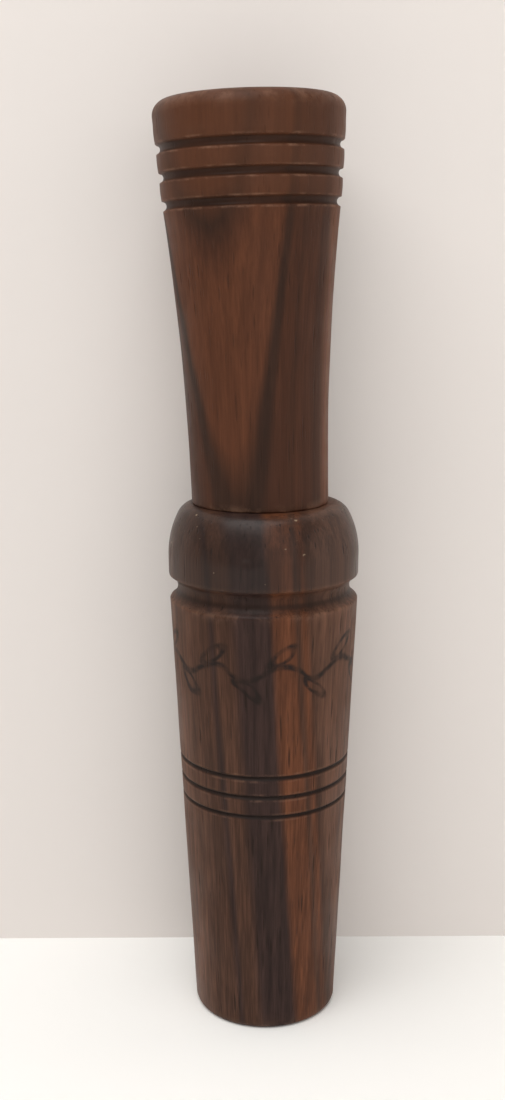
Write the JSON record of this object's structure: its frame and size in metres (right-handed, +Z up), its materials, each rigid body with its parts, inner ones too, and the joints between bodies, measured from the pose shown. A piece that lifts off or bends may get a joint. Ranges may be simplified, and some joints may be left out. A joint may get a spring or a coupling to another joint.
{
  "type": "duck call",
  "caption": "Hand-turned wooden duck call: a tapered barrel with a lanyard groove and a flared stopper that carries the tone board, reeds and cork wedge inside.",
  "frame": {"origin": "centre of the mouthpiece end's face, on the bore's axis, where the call stands", "axes": "+Z up the bore from the mouthpiece to the exhaust; the tone board's reed side faces -Y"},
  "size_m": [0.0346, 0.0332, 0.1603],
  "materials": {
    "barrel_walnut": "satin oil finish, dark and worn",
    "stopper_walnut": "satin oil finish, red-brown",
    "tone_board_wood": "bare sanded wood",
    "o_ring_rubber": "satin black",
    "reed_film": "frosted film",
    "wedge_cork": "cut cork"
  },
  "bodies": {
    "barrel": {"barrel": "barrel_walnut"},
    "seal_rings": {"lower_o_ring": "o_ring_rubber", "upper_o_ring": "o_ring_rubber"},
    "stopper": {"stopper": "stopper_walnut", "tone_board": "tone_board_wood"},
    "wedge": {"wedge": "wedge_cork"},
    "long_reed": {"long_reed": "reed_film"},
    "short_reed": {"short_reed": "reed_film"}
  },
  "joints": [
    {"name": "stopper_pull", "type": "slide", "parent": "barrel", "child": "seal_rings", "axis": [0, 0, 1], "range_m": [0, 0.08]},
    {"name": "stopper_turn", "type": "hinge", "parent": "seal_rings", "child": "stopper", "pos_m": [0, 0, 0.0875], "axis": [0, 0, 1], "continuous": true},
    {"name": "wedge_slide", "type": "slide", "parent": "stopper", "child": "wedge", "axis": [0, 0, -1], "range_m": [0, 0.014]},
    {"name": "long_reed_flex", "type": "hinge", "parent": "wedge", "child": "long_reed", "pos_m": [0, -0.0008, 0.0715], "axis": [1, 0, 0], "range_deg": [-1, 2.2], "stiffness_Nm_per_rad": 0.0122, "deforming": ["long_reed"]},
    {"name": "short_reed_flex", "type": "hinge", "parent": "wedge", "child": "short_reed", "pos_m": [0, -0.0008, 0.0715], "axis": [1, 0, 0], "range_deg": [-1, 2.2], "stiffness_Nm_per_rad": 0.0046, "deforming": ["short_reed"]}
  ],
  "couplings": [
    {"joint": "short_reed_flex", "follows": "long_reed_flex", "ratio": 1}
  ]
}
